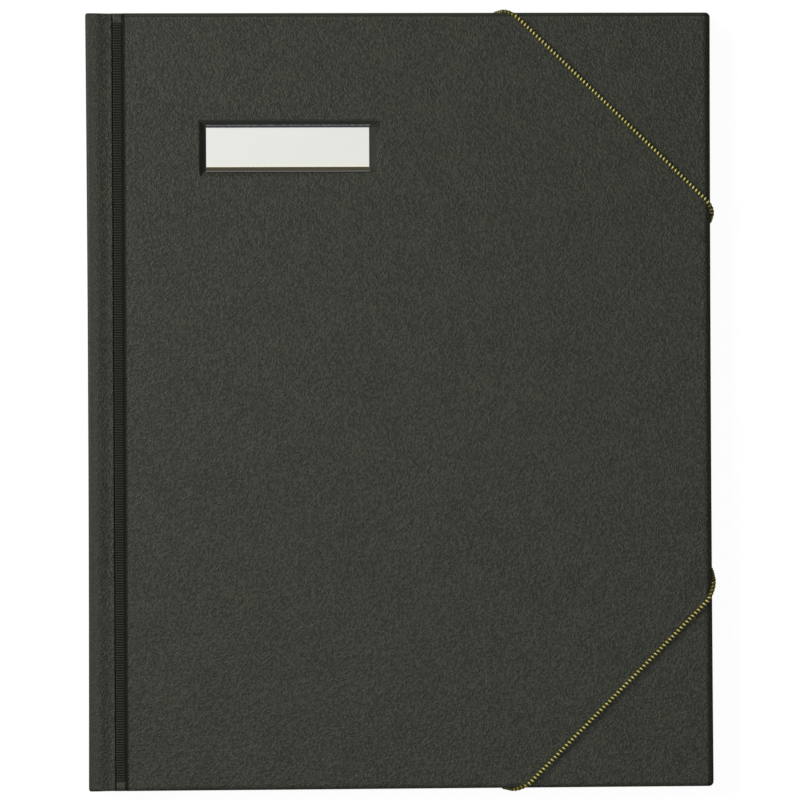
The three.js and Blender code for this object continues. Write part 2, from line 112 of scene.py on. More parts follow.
class Finish:
    """A material that is put together node by node, ending in its surface shader."""

    def __init__(self, name, **surface):
        self.material = bpy.data.materials.new(name)
        self.material.use_nodes = True
        self.tree = self.material.node_tree
        self.tree.nodes.clear()
        self.surface = self.tree.nodes.new("ShaderNodeBsdfPrincipled")
        self.out = self.tree.nodes.new("ShaderNodeOutputMaterial")
        self.tree.links.new(self.surface.outputs[0], self.out.inputs["Surface"])
        self.feed(self.surface, surface)
        coordinates = self.tree.nodes.new("ShaderNodeTexCoord")
        self.place = Shade(self.tree, coordinates.outputs["Object"])
        axes = self.tree.nodes.new("ShaderNodeSeparateXYZ")
        self.tree.links.new(self.place.socket, axes.inputs[0])
        self.x, self.y, self.z = (Shade(self.tree, axis) for axis in axes.outputs)

    def feed(self, node, inputs):
        for name, value in inputs.items():
            names = {name, name.replace("_", " ")}
            socket = next(s for s in node.inputs if s.enabled and {s.name, s.identifier} & names)
            if isinstance(value, Shade):
                self.tree.links.new(value.socket, socket)
            else:
                socket.default_value = value

    def node(self, kind, settings=None, output=0, **inputs):
        node = self.tree.nodes.new("ShaderNode" + kind)
        for name, value in (settings or {}).items():
            setattr(node, name, value)
        self.feed(node, inputs)
        return Shade(self.tree, node.outputs[output])

    def noise(self, size, detail=2.0, roughness=0.5, place=None):
        """Cloudy noise from 0 to 1 whose largest spots are about as wide as size."""
        looks = {"Scale": 1 / size, "Detail": detail, "Roughness": roughness}
        return self.node("TexNoise", Vector=place or self.place, **looks)

    def ramp(self, value, low, high):
        """A mask that rises softly from 0 where the value is low to 1 where it is high."""
        limits = {"From Min": low, "From Max": high}
        return self.node("MapRange", {"interpolation_type": "SMOOTHSTEP"}, Value=value, **limits)

    def mix(self, factor, first, second):
        colours = {"A_Color": first, "B_Color": second}
        return self.node("Mix", {"data_type": "RGBA"}, output=2, Factor_Float=factor, **colours)

    def strip(self, axis, low, high, soft):
        """A mask that is 1 between two places on an axis and fades over soft outside them."""
        return self.ramp(axis, low - soft, low) * (1 - self.ramp(axis, high, high + soft))

    def bump(self, height, depth, strength=1.0):
        normal = self.node("Bump", Height=height, Distance=depth, Strength=strength)
        self.feed(self.surface, {"Normal": normal})

    def cover(self, mask, shader):
        """Lays a second shader over the surface where the mask is 1."""
        mixed = self.tree.nodes.new("ShaderNodeMixShader")
        for place, value in enumerate((mask, Shade(self.tree, self.surface.outputs[0]), shader)):
            self.tree.links.new(value.socket, mixed.inputs[place])
        self.tree.links.new(mixed.outputs[0], self.out.inputs["Surface"])


def colour(red, green, blue):
    return (red, green, blue, 1.0)


def show(name, mesh, finish, replaced=()):
    piece = bpy.data.objects.new(name, mesh)
    bpy.context.scene.collection.objects.link(piece)
    mesh.materials.clear()
    mesh.materials.append(finish.material)
    if replaced:
        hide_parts(*replaced)
    return piece


def quarter_turn(steps):
    """The angles from 0 to 90 degrees in even steps."""
    return [math.pi / 2 * i / steps for i in range(steps + 1)]


def tube(name, points, radius, sides):
    """A closed round tube along a line of points."""
    curve = bpy.data.curves.new(name, "CURVE")
    curve.dimensions = "3D"
    curve.bevel_depth = radius
    curve.bevel_resolution = (sides - 4) // 2
    curve.use_fill_caps = True
    curve.resolution_u = 1
    line = curve.splines.new("POLY")
    line.points.add(len(points) - 1)
    for target, point in zip(line.points, points):
        target.co = (*point, 1)
    holder = bpy.data.objects.new(name, curve)
    bpy.context.scene.collection.objects.link(holder)
    solid = bpy.data.meshes.new_from_object(holder.evaluated_get(bpy.context.evaluated_depsgraph_get()))
    bpy.data.objects.remove(holder)
    solid.shade_smooth()
    return solid


def evened(points, step):
    """The same line with a point every step, so that windings follow it evenly."""
    lengths = [0.0]
    for before, after in zip(points, points[1:]):
        lengths.append(lengths[-1] + (after - before).length)
    count = max(2, round(lengths[-1] / step))
    line = []
    index = 0
    for i in range(count + 1):
        wanted = lengths[-1] * i / count
        while index < len(points) - 2 and lengths[index + 1] < wanted:
            index += 1
        share = (wanted - lengths[index]) / (lengths[index + 1] - lengths[index])
        line.append(points[index].lerp(points[index + 1], share))
    return line


def wound(points, radius, pitch, steps, inner):
    """A helix round a line of points. Where it faces away from inner it lies nearly square across."""
    line = evened(points, pitch / steps)
    squared = 0.6
    held_back = squared * pitch / (2 * math.pi)
    helix = []
    for i, point in enumerate(line):
        ahead = (line[min(i + 1, len(line) - 1)] - line[max(i - 1, 0)]).normalized()
        outer = point - inner(point)
        outer = (outer - ahead * outer.dot(ahead)).normalized()
        turned = 2 * math.pi * i / steps
        across = outer * math.cos(turned) + ahead.cross(outer) * math.sin(turned)
        helix.append(point + across * radius - ahead * held_back * math.sin(turned))
    return helix


cord_radius = 0.95 * MM
core_radius = 0.74 * MM
yarn_radius = 0.34 * MM
yarn_pitch = 1.69 * MM
yarn_steps = 14
core_sides = 12
yarn_sides = 8
back_face = 2.2 * MM
front_face = 11.5 * MM
cover_edge_radius = 0.9 * MM
back_wrap = 1.6 * MM
front_wrap = 3.0 * MM
beyond_edge = 0.65 * MM
eyelet_inset = 8.5 * MM
eyelet_bend = 1.5 * MM
cord_end_depth = 4.3 * MM
cord_end_grip = 0.6 * MM
fore_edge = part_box("front_covering")[1].x
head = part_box("front_covering")[1].y


def inside_covers(point):
    """The place between the covers that a cord's outer side faces away from."""
    inset = 2 * MM
    across = min(point.x, fore_edge - inset)
    along = max(inset - head, min(head - inset, point.y))
    return Vector((across, along, (back_face + front_face) / 2))


def way_round_edge(shift):
    """Half of a cord's way in the section of an edge: distance in from it, distance along it, level."""
    corner = back_wrap - beyond_edge
    run = eyelet_inset - corner
    slant = front_wrap - beyond_edge - cover_edge_radius
    shift_gone_at_back = 0.15
    shift_left_at_front = 0.55
    under = [(eyelet_inset, shift + run, back_face + cord_end_depth - cord_end_grip)]
    for turned in quarter_turn(8):
        out = eyelet_bend * (1 - math.cos(turned)) * math.sqrt(0.5)
        level = cord_radius + eyelet_bend * (1 - math.sin(turned))
        under.append((eyelet_inset - out, shift + run - out, level))
    over = []
    for turned in quarter_turn(6):
        share = turned / (math.pi / 2)
        level = cord_radius + back_wrap * (1 - math.cos(turned))
        along = shift * (1 - shift_gone_at_back * share)
        over.append((corner - back_wrap * math.sin(turned), along, level))
    for turned in quarter_turn(9):
        share = turned / (math.pi / 2)
        inward = front_wrap * (1 - math.cos(turned)) - beyond_edge
        level = front_face + cord_radius - front_wrap * (1 - math.sin(turned))
        over.append((inward, shift * shift_left_at_front * (1 - share) - slant * share, level))
    return under, over


def lay_cord(name, number, line, inner, node):
    """The core and the yarn along a line. The yarn stands for the CAD's cord."""
    core = tube(f"{name}_core{number}", line, core_radius, core_sides)
    winding = wound(line, cord_radius - yarn_radius, yarn_pitch, yarn_steps, inner)
    yarn = tube(f"{name}_yarn{number}", winding, yarn_radius, yarn_sides)
    pieces = [
        show(f"{name}_core{number}", core, cord_core),
        show(f"{name}_yarn{number}", yarn, gold_yarn, [node]),
    ]
    for piece in pieces:
        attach(piece, "back_cover")
    return pieces


gold_yarn = Finish("gold_yarn", Roughness=0.35, Metallic=0.15, Specular_IOR_Level=0.3)
yarn_twist = gold_yarn.noise(0.35 * MM, 3.0, 0.6)
# Painted highlight and painted shade: the yarn is painted pale on its top over the front cover and dark
# olive on its sides and elsewhere; the twist noise varies the pale colour.
crest_from = front_face + 1.25 * MM
crest_full = front_face + 1.85 * MM
on_crest = gold_yarn.ramp(gold_yarn.z, crest_from, crest_full)
gold_painted_shade = colour(0.11, 0.096, 0.003)
twisted_gold_painted_lit = gold_yarn.mix(yarn_twist, colour(0.43, 0.39, 0.12), colour(0.76, 0.71, 0.34))
gold_yarn.feed(gold_yarn.surface, {
    "Base Color": gold_yarn.mix(on_crest * 0.87 + 0.13, gold_painted_shade, twisted_gold_painted_lit),
})
gold_yarn.bump(yarn_twist, 0.06 * MM, 0.6)

cord_core = Finish("cord_core", Roughness=0.7, Specular_IOR_Level=0.1)
core_braid = cord_core.noise(0.3 * MM, 2.0)
cord_core.feed(cord_core.surface, {
    "Base Color": cord_core.mix(core_braid, colour(0.018, 0.014, 0.0004), colour(0.055, 0.046, 0.0015)),
})
cord_core.bump(core_braid, 0.05 * MM, 0.6)

cords = {
    "upper": {"end": 1, "reach": (80.8, 78.6), "shift": (8.6, 8), "node": "upper_elastic"},
    "lower": {"end": -1, "reach": (77.2, 78.0), "shift": (10.6, 12.1), "node": "lower_elastic"},
}
far_above = Vector((0, 0, 20 * MM))
for cord_name, cord in cords.items():
    end = cord["end"]
    reach_x, reach_y = (value * MM for value in cord["reach"])
    halves = []
    for edge, shift in enumerate(cord["shift"]):
        placed = []
        for stretch in way_round_edge(shift * MM):
            line = []
            for inset, along, level in stretch:
                at_head = (fore_edge - reach_x - along, end * (head - inset), level)
                at_side = (fore_edge - inset, end * (head - reach_y - along), level)
                line.append(Vector(at_side if edge else at_head))
            placed.append(line)
        halves.append(placed)
    front_line = halves[0][1] + halves[1][1][::-1]
    for piece in lay_cord(f"{cord_name}_cord", "", front_line, inside_covers, cord["node"]):
        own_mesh(piece)
    for edge, half in enumerate(halves):
        under_line = half[0] + [half[1][0]]
        above = under_line[-1] + far_above
        lay_cord(f"{cord_name}_cord", f"_{edge + 1}", under_line, lambda point: above, cord["node"])


# Spring clamp: one sheet of spring steel, rolled to a channel whose two legs press on the sheets'
# edges. The rolling leaves fine scratches along the spine. It shows at head and tail and inside.
def finish_node(node, finish):
    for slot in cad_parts[node].material_slots:
        slot.material = finish.material


spring_steel = Finish("spring_steel", Metallic=1.0)
drawn_out = (1.0, 0.02, 1.0)
rolled_place = spring_steel.node("Mapping", Vector=spring_steel.place, Scale=drawn_out)
rolling_marks = spring_steel.noise(0.25 * MM, 3.0, 0.6, rolled_place)
steel_stains = spring_steel.noise(9 * MM, 3.0)
spring_steel.feed(spring_steel.surface, {
    "Base Color": spring_steel.mix(steel_stains, colour(0.33, 0.34, 0.35), colour(0.46, 0.46, 0.46)),
    "Roughness": 0.24 + rolling_marks * 0.2,
})
spring_steel.bump(rolling_marks, 0.02 * MM, 0.5)
finish_node("spring_clamp", spring_steel)


# Spine covering: leatherette, a grained vinyl on cloth, drawn over the clamp from one jaw round the
# back to the other. It slopes down from the back to the jaws, bows in a little between head and tail,
# and is folded in over the steel's ends, with a small pucker of the fold beside the front jaw.
leather_dark = colour(0.0105, 0.0116, 0.0069)
leather_pale = colour(0.0376, 0.0414, 0.0259)
deep_shade = colour(0.005, 0.005, 0.0035)


def leatherette(finish, gloss, plain, painted_gleam):
    """Gives a finish the grain of the covering: pressed flat where plain is 1, paler where painted_gleam
    paints a highlight.
    """
    grain = finish.noise(0.85 * MM, 1.0, 0.5)
    folds = finish.noise(1.7 * MM, 2.0, 0.5)
    fine = finish.noise(0.4 * MM, 1.0)
    cloud = finish.noise(14 * MM, 2.0)
    height = grain * 0.7 + folds * 0.32 + fine * 0.38
    crests = finish.ramp(height, 0.58, 0.84)
    tone = (crests * 0.62 + cloud * 0.36) * (1 - plain) + 0.22 * plain + painted_gleam
    finish.feed(finish.surface, {
        "Base Color": finish.mix(tone, leather_dark, leather_pale),
        "Roughness": gloss + (1 - crests) * 0.1,
        "Specular IOR Level": 0.35,
    })
    finish.bump(height * (1 - plain), 0.5 * MM)


def painted_shade_shader(finish):
    """A near black shader that paints shade on leatherette: in creases, along edges and on sunk walls.
    """
    return finish.node("BsdfPrincipled", Base_Color=deep_shade, Roughness=0.9, Specular_IOR_Level=0.1)


def sheet(name, rows):
    """A smooth surface through rows of points, each row as long as the first."""
    width = len(rows[0])
    faces = []
    for row in range(len(rows) - 1):
        for i in range(width - 1):
            first = row * width + i
            faces.append((first, first + 1, first + width + 1, first + width))
    mesh = bpy.data.meshes.new(name)
    mesh.from_pydata([point for row in rows for point in row], [], faces)
    mesh.shade_smooth()
    return mesh


def thicken(piece, thickness):
    """Gives a sheet its thickness, on the side away from its face."""
    wall = piece.modifiers.new("wall", "SOLIDIFY")
    wall.thickness = thickness
    wall.offset = -1


def smooth_step(share):
    share = max(0.0, min(1.0, share))
    return share * share * (3 - 2 * share)


cover_gloss = 0.46
skin_thickness = 0.4 * MM
flat_to = 2.2 * MM
grained_from = 6 * MM
jaw_highlight_patch_size = 4.5 * MM
jaw_gleam_from = 0.5 * MM
jaw_gleam_to = 1.5 * MM
jaw_gleam_blur = 0.5 * MM
back_line_full = 0.6 * MM
back_line_end = 1.5 * MM
spine_low, spine_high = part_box("spine_covering")
jaw_overlap = 0.25 * MM
spine_high.x += jaw_overlap
spine_middle = (spine_low + spine_high) / 2
spine_finish = Finish("spine_leatherette")
from_back = spine_finish.x - spine_low.x
from_jaw = spine_high.x - spine_finish.x
flattened = 1 - spine_finish.ramp(from_back, flat_to, grained_from)
# Painted highlight: pale patches, spread by noise, in a band just in from the jaws.
jaw_highlight_patches = spine_finish.ramp(spine_finish.noise(jaw_highlight_patch_size, 1.0), 0.5, 0.65)
by_jaw = spine_finish.strip(from_jaw, jaw_gleam_from, jaw_gleam_to, jaw_gleam_blur)
leatherette(spine_finish, cover_gloss, flattened * 0.6, by_jaw * jaw_highlight_patches * 0.35)
# Painted shade: a dark band along the rounded back of the spine, laid over the leatherette.
back_line = 1 - spine_finish.ramp(from_back, back_line_full, back_line_end)
back_shade = spine_finish.node("BsdfPrincipled", Base_Color=colour(0.014, 0.014, 0.005), Roughness=0.9)
spine_finish.cover(back_line * 0.8, back_shade)

back_radius = 1.3 * MM
shoulder_radius = 0.45 * MM
jaw_drop = 1.1 * MM
slope_from = 3.0 * MM
slope_to = 9.9 * MM
end_fold = 1.45 * MM
end_radius = 1.0 * MM
back_bow = 0.45 * MM
pucker_place = Vector((spine_high.x - 2.3 * MM, spine_high.y - 1.3 * MM, 0))
pucker_height = 0.3 * MM
pucker_size = 1.0 * MM
slope_steps = 16
inward_stations = (1.1, 1.3, 1.6, 2, 2.6, 3.5, 5, 8, 15, 30, 50, 75, 100, 130)

upper_line = []
for turned in quarter_turn(8):
    x = spine_high.x - shoulder_radius * (1 - math.cos(turned))
    upper_line.append((x, spine_high.z - jaw_drop - shoulder_radius * (1 - math.sin(turned))))
lip_start = spine_high.x - shoulder_radius
crest_end = spine_low.x + back_radius
for i in range(1, slope_steps):
    x = lip_start + (crest_end - lip_start) * i / slope_steps
    sloped = smooth_step((spine_low.x + slope_to - x) / (slope_to - slope_from))
    upper_line.append((x, spine_high.z - jaw_drop * (1 - sloped)))
for turned in quarter_turn(8):
    x = spine_low.x + back_radius * (1 - math.sin(turned))
    upper_line.append((x, spine_high.z - back_radius * (1 - math.cos(turned))))
lower_line = [(x, 2 * spine_middle.z - z) for x, z in reversed(upper_line)]
spine_line = upper_line + lower_line

half_length = (spine_high.y - spine_low.y) / 2
stations = [(half_length, end_fold), (half_length, end_radius)]
for turned in quarter_turn(4)[1:]:
    station = half_length - end_radius * (1 - math.cos(turned))
    stations.append((station, end_radius * (1 - math.sin(turned))))
stations += [(half_length - inward * MM, 0.0) for inward in inward_stations]
stations += [(-y, inset) for y, inset in reversed(stations)]
spine_rows = []
for y, inset in stations:
    row = []
    for x, z in spine_line:
        height = max(0.0, abs(z - spine_middle.z) - inset)
        level = spine_middle.z + math.copysign(height, z - spine_middle.z)
        point = Vector((max(x, spine_low.x + inset), spine_middle.y + y, level))
        reach = (spine_high.x - x) / (spine_high.x - spine_low.x)
        point.x += back_bow * reach * (1 - (y / half_length) ** 2)
        if z > spine_middle.z:
            apart = Vector((point.x - pucker_place.x, point.y - pucker_place.y)).length / pucker_size
            point.z += pucker_height * math.exp(-apart * apart)
        row.append(point)
    spine_rows.append(row)
spine_mesh = sheet("spine_leather", spine_rows)
spine_piece = show("spine_leather", spine_mesh, spine_finish, ["spine_covering"])
thicken(spine_piece, skin_thickness)
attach(spine_piece, "spine")


# Ribbed hinge strips: the same leatherette pressed into some three hundred fine cross ribs, so that
# it bends easily. One strip joins the spine to each cover, with a crease on both sides of the ribs,
# and it is plain, with a low puff, for 3.6 mm at both ends. Painted shade darkens the creases and
# the valleys between the ribs, and a patchy painted highlight lies near both ends.
rib_gloss = 0.5
rib_pitch = 1.05 * MM
rib_height = 0.48 * MM
rib_fade = 0.35 * MM
rib_start = 0.1 * MM
ribs_beyond = 0.3 * MM
crease_depth = 0.2 * MM
end_puff = 0.45 * MM
plain_end = 3.6 * MM
strip_thickness = 0.45 * MM
strip_sink = 0.33 * MM
tucked_at_spine = 0.6 * MM
tucked_at_cover = 0.5 * MM
crease_end = 0.5 * MM
crease_blur = 0.25 * MM
end_gleam_from = 2.2 * MM
end_gleam_to = 3.2 * MM
end_gleam_blur = 0.9 * MM
end_highlight_patch_size = 1.3 * MM
valley_full = 0.1 * MM
valley_end = 0.42 * MM
rows_in_rib = 6
strip_columns = 16
covers = {"front": 1, "back": -1}
for cover, outward in covers.items():
    low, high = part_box(f"{cover}_hinge_strip")
    ribs_end = high.x + ribs_beyond
    rib_finish = Finish(f"{cover}_ribbed_leatherette")
    in_crease = 1 - rib_finish.strip(rib_finish.x, low.x + crease_end, ribs_end, crease_blur)
    from_tail = rib_finish.y - low.y
    from_ends = from_tail.maths("MINIMUM", high.y - rib_finish.y)
    # Painted highlight near both ends of the strip, patchy with noise.
    end_gleam = rib_finish.strip(from_ends, end_gleam_from, end_gleam_to, end_gleam_blur)
    end_highlight_patches = rib_finish.ramp(rib_finish.noise(end_highlight_patch_size, 1.0), 0.38, 0.62)
    leatherette(rib_finish, rib_gloss, 0.7, end_gleam * (0.15 + end_highlight_patches * 0.65))
    from_valley = from_tail.maths("PINGPONG", rib_pitch / 2)
    in_valley = 1 - rib_finish.ramp(from_valley, valley_full, valley_end)
    on_ribs = rib_finish.ramp(from_ends, plain_end - 0.2 * MM, plain_end)
    # Painted shade: near black in the creases beside the ribs and in the valleys between them.
    darkened = (in_crease * 0.5).maths("MAXIMUM", on_ribs * in_valley * 0.7)
    rib_finish.cover(darkened, painted_shade_shader(rib_finish))

    strip_start = spine_high.x - tucked_at_spine
    strip_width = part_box(f"{cover}_covering")[0].x + tucked_at_cover - strip_start
    sheet_level = high.z - strip_sink if outward > 0 else low.z + strip_sink
    row_count = round((high.y - low.y) / rib_pitch) * rows_in_rib
    strip_rows = []
    for step in range(row_count + 1):
        y = low.y + (high.y - low.y) * step / row_count
        from_end = min(y - low.y, high.y - y)
        ribbed = smooth_step((from_end - plain_end) / rib_fade)
        puff = max(0.0, math.sin(math.pi * min(1.0, from_end / plain_end)))
        wave = 0.5 - 0.5 * math.cos(2 * math.pi * (y - low.y) / rib_pitch)
        row = []
        for column in range(strip_columns + 1):
            x = strip_start + strip_width * column / strip_columns
            raised = smooth_step(min(x - low.x - rib_start, ribs_end - x) / rib_fade)
            level = (rib_height * wave * ribbed + end_puff * puff) * raised - crease_depth * (1 - raised)
            row.append((x, y, sheet_level + outward * level))
        strip_rows.append(row[::-1] if outward < 0 else row)
    rib_mesh = sheet(f"{cover}_ribs", strip_rows)
    ribs = show(f"{cover}_ribs", rib_mesh, rib_finish, [f"{cover}_hinge_strip"])
    level = (low.z + high.z) / 2
    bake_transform(ribs)
    thicken(ribs, strip_thickness)


# Cover boards: 1.3 mm grey board, which gives each cover its stiffness. Its outer edges are rounded off
# under the leatherette, and the front one is pressed in under the label pocket, 1 mm deep.
touching = 0.001 * MM


def block(low, high):
    """A bmesh box between two corners."""
    mesh = bmesh.new()
    placing = Matrix.Translation((low + high) / 2) @ Matrix.Diagonal((*(high - low), 1))
    bmesh.ops.create_cube(mesh, size=1, matrix=placing)
    return mesh


def finished(name, mesh):
    """Turns a bmesh into the mesh of a piece."""
    result = bpy.data.meshes.new(name)
    mesh.to_mesh(result)
    mesh.free()
    return result


def edges_at(edges, level):
    return [e for e in edges if all(abs(v.co.z - level) < touching for v in e.verts)]


def round_edges(mesh, edges, radius, segments):
    bmesh.ops.bevel(
        mesh, geom=edges, offset=radius, offset_type="OFFSET", affect="EDGES",
        segments=segments, profile=0.5, material=-1, clamp_overlap=True,
    )


def split(mesh, faces, axis, value):
    """Cuts faces along a plane square to an axis and returns the pieces."""
    place = Vector((0, 0, 0))
    place[axis] = value
    normal = Vector((0, 0, 0))
    normal[axis] = 1
    parts = set(faces)
    for face in faces:
        parts.update(face.edges)
        parts.update(face.verts)
    cut = bmesh.ops.bisect_plane(
        mesh, geom=list(parts), dist=touching / 10, plane_co=place, plane_no=normal,
    )
    return [g for g in cut["geom"] if isinstance(g, bmesh.types.BMFace)]


def inside(face, x0, x1, y0, y1):
    centre = face.calc_center_median()
    return x0 < centre.x < x1 and y0 < centre.y < y1


def flat_faces(mesh, level):
    faces = [f for f in mesh.faces if abs(f.normal.z) > 0.99]
    return [f for f in faces if abs(f.calc_center_median().z - level) < touching]


def rim_of(low, high):
    return (low.x, high.x, low.y, high.y)


def grown(rim, margins):
    """A rim with each of its sides, low x, high x, low y and high y, moved outwards by its margin."""
    return tuple(value + way * margin for value, way, margin in zip(rim, (-1, 1, -1, 1), margins))


def sink(mesh, faces, rim, run, depth):
    """Sinks the part of flat faces inside a rim by depth, with walls that slope over run."""
    for axis, value in zip((0, 0, 1, 1), rim):
        faces = split(mesh, faces, axis, value)
    floor = next(f for f in faces if inside(f, *rim))
    bmesh.ops.inset_region(mesh, faces=[floor], thickness=run, depth=0)
    bmesh.ops.translate(mesh, verts=floor.verts[:], vec=(0, 0, -depth))
    return floor


card_low, card_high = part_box("label_card")
board_edge_round = 1.0 * MM
pocket_depth = 1.0 * MM
pocket_wall_run = 2.6 * MM
floor_round_card = (0.2 * MM, 2.2 * MM, 1.35 * MM, 0.3 * MM)
pocket_floor = grown(rim_of(card_low, card_high), floor_round_card)
pocket_rim = grown(pocket_floor, (pocket_wall_run,) * 4)
board_finish = Finish("grey_board", Roughness=0.9)
board_fibres = board_finish.noise(0.5 * MM, 4.0, 0.6)
board_finish.feed(board_finish.surface, {
    "Base Color": board_finish.mix(board_fibres, colour(0.16, 0.15, 0.12), colour(0.28, 0.26, 0.22)),
})
board_finish.bump(board_fibres, 0.05 * MM, 0.5)
for cover, outward in covers.items():
    low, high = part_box(f"{cover}_board")
    board = block(low, high)
    outer_level = high.z if outward > 0 else low.z
    round_edges(board, edges_at(board.edges, outer_level), board_edge_round, 3)
    if outward > 0:
        sink(board, flat_faces(board, outer_level), pocket_rim, pocket_wall_run, pocket_depth)
    board_mesh = finished(f"{cover}_grey_board", board)
    piece = show(f"{cover}_grey_board", board_mesh, board_finish, [f"{cover}_board"])
    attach(piece, f"{cover}_cover")


# Cover coverings: leatherette over the outer face of each board, drawn round its edges and turned in
# 15 mm on the inside. The outer face falls away softly towards the edges, its grain is pressed flat
# along the head, and in the front one a pocket with sloping, mitred walls is sunk 1 mm for the label.
# Shade is painted along the hinge, the fore-edge and the tail and on two of the pocket's walls, and a
# highlight is painted in a band near the head.
turn_in = 15 * MM
hinge_turn_in = 4 * MM
fore_edge_corner = 1.9 * MM
hinge_corner = 0.3 * MM
pocket_floor_round = 0.2 * MM
pocket_rim_round = 0.3 * MM
fore_edge_bow = 0.33 * MM
bow_cuts = 40 * MM
head_flat_to = 1.2 * MM
head_grained_from = 1.5 * MM
head_gleam_from = 1.8 * MM
head_gleam_to = 2.5 * MM
head_gleam_blur = 0.3 * MM
wall_shade_from = 0.2 * MM
head_shade_from = 0.5 * MM
wall_blur = 0.3 * MM
mitre_blur = 0.15 * MM
grained_wall = 2 * MM
pressed_blur = 0.2 * MM
# How deep each side falls away, how far in, and the shares of that where a cut lets it bend.
falls = {
    "fore_edge": (0.8 * MM, 3.4 * MM, (0.4, 0.55, 0.7, 0.85, 1)),
    "head": (0.12 * MM, 1.6 * MM, (0.75, 1)),
    "tail": (0.4 * MM, 2.4 * MM, (0.5, 0.75, 1)),
}
# Bands of painted shade: how far in each is full, how far in it ends, and how strong it is.
shades = {
    "hinge": (0.55 * MM, 1.6 * MM, 0.85),
    "fore_edge": (1.6 * MM, 3.0 * MM, 0.52),
    "tail": (0.8 * MM, 1.8 * MM, 0.3),
}


def turn_in_mouth(cover):
    """The rim inside the turned-in leatherette of a cover."""
    return grown(rim_of(*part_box(f"{cover}_covering")), (-hinge_turn_in, -turn_in, -turn_in, -turn_in))


def pocket_masks(finish):
    """Where the grain of the pocket's walls is pressed flat, and how much shade is painted on them."""
    rim_left, rim_right, rim_tail, rim_head = pocket_rim
    pressed_across = finish.strip(finish.x, rim_left, rim_right - grained_wall, pressed_blur)
    pressed_along = finish.strip(finish.y, rim_tail + grained_wall, rim_head, pressed_blur)
    pressed = pressed_across * pressed_along
    from_left = finish.x - rim_left
    from_head = rim_head - finish.y
    from_ends = from_head.maths("MINIMUM", finish.y - rim_tail)
    left_of_mitre = finish.ramp(from_ends - from_left, -mitre_blur, mitre_blur)
    # Painted shade: strong on the left wall up to its mitres, weaker on the head wall.
    left_wall = finish.strip(from_left, wall_shade_from, pocket_wall_run, wall_blur) * left_of_mitre
    head_band = finish.strip(from_head, head_shade_from, pocket_wall_run, wall_blur)
    head_reach = finish.strip(finish.x, rim_left, rim_right - head_shade_from, wall_blur)
    head_wall = head_band * head_reach * (1 - left_of_mitre)
    return pressed, left_wall * 0.85 + head_wall * 0.35


for cover, outward in covers.items():
    low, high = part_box(f"{cover}_covering")
    leather_finish = Finish(f"{cover}_leatherette")
    from_head = high.y - leather_finish.y
    from_sides = {
        "hinge": leather_finish.x - low.x,
        "fore_edge": high.x - leather_finish.x,
        "tail": leather_finish.y - low.y,
    }
    plain = 1 - leather_finish.ramp(from_head, head_flat_to, head_grained_from)
    shaded = 0.0
    for side, (full, end, strength) in shades.items():
        shaded = shaded + (1 - leather_finish.ramp(from_sides[side], full, end)) * strength
    if outward > 0:
        pressed, in_pocket_shade = pocket_masks(leather_finish)
        plain = plain + pressed * 0.85
        shaded = shaded + in_pocket_shade
    # Painted highlight: a paler band a little in from the head.
    by_head = leather_finish.strip(from_head, head_gleam_from, head_gleam_to, head_gleam_blur)
    leatherette(leather_finish, cover_gloss, plain, by_head * 0.25)
    # Near black painted shade laid over the hinge, fore-edge and tail bands and the pocket walls.
    leather_finish.cover(shaded, painted_shade_shader(leather_finish))

    skin = block(low, high)
    uprights = [e for e in skin.edges if abs(e.verts[0].co.z - e.verts[1].co.z) > 1 * MM]
    round_edges(skin, [e for e in uprights if e.verts[0].co.x > 0], fore_edge_corner, 5)
    round_edges(skin, [e for e in uprights if e.is_valid and e.verts[0].co.x < 0], hinge_corner, 2)
    for level in (low.z, high.z):
        round_edges(skin, edges_at(skin.edges, level), cover_edge_radius, 5)
    outer_level = high.z if outward > 0 else low.z
    inner_level = low.z if outward > 0 else high.z
    mouth = turn_in_mouth(cover)
    flat = flat_faces(skin, inner_level)
    for axis, value in zip((0, 0, 1, 1), mouth):
        flat = split(skin, flat, axis, value)
    bmesh.ops.delete(skin, geom=[f for f in flat if inside(f, *mouth)], context="FACES")

    flat = flat_faces(skin, outer_level)
    edges = {"fore_edge": (0, high.x, -1), "head": (1, high.y, -1), "tail": (1, low.y, 1)}
    for side, (axis, edge, inward) in edges.items():
        run, shares = falls[side][1:]
        for share in shares:
            flat = split(skin, flat, axis, edge + inward * run * share)
    if outward > 0:
        floor = sink(skin, flat, pocket_rim, pocket_wall_run, pocket_depth)
        floor_edges = list(floor.edges)
        walls = [face for edge in floor.edges for face in edge.link_faces if face is not floor]
        rim_edges = edges_at([e for face in walls for e in face.edges], outer_level)
        round_edges(skin, floor_edges, pocket_floor_round, 2)
        round_edges(skin, [e for e in rim_edges if e.is_valid], pocket_rim_round, 3)
    middle_level = (low.z + high.z) / 2
    for step in range(-3, 4):
        bmesh.ops.bisect_plane(
            skin, geom=skin.verts[:] + skin.edges[:] + skin.faces[:],
            plane_co=(0, step * bow_cuts, 0), plane_no=(0, 1, 0),
        )
    for vert in skin.verts:
        across = (vert.co.x - low.x) / (high.x - low.x)
        vert.co.x -= fore_edge_bow * across * (1 - (vert.co.y / high.y) ** 2)
        share = max(0.0, (vert.co.z - middle_level) / (outer_level - middle_level))
        distances = {
            "fore_edge": (1 - across) * (high.x - low.x),
            "head": high.y - vert.co.y,
            "tail": vert.co.y - low.y,
        }
        fall = 0.0
        for side, (depth, run, _) in falls.items():
            fall += depth * max(0.0, 1 - distances[side] / run) ** 2
        vert.co.z -= outward * fall * min(1.0, share)
    skin_mesh = finished(f"{cover}_leather", skin)
    skin_mesh.shade_smooth()
    leather = show(f"{cover}_leather", skin_mesh, leather_finish, [f"{cover}_covering"])
    thicken(leather, skin_thickness)
    leather.modifiers.new("even_light", "WEIGHTED_NORMAL").keep_sharp = True
    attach(leather, f"{cover}_cover")


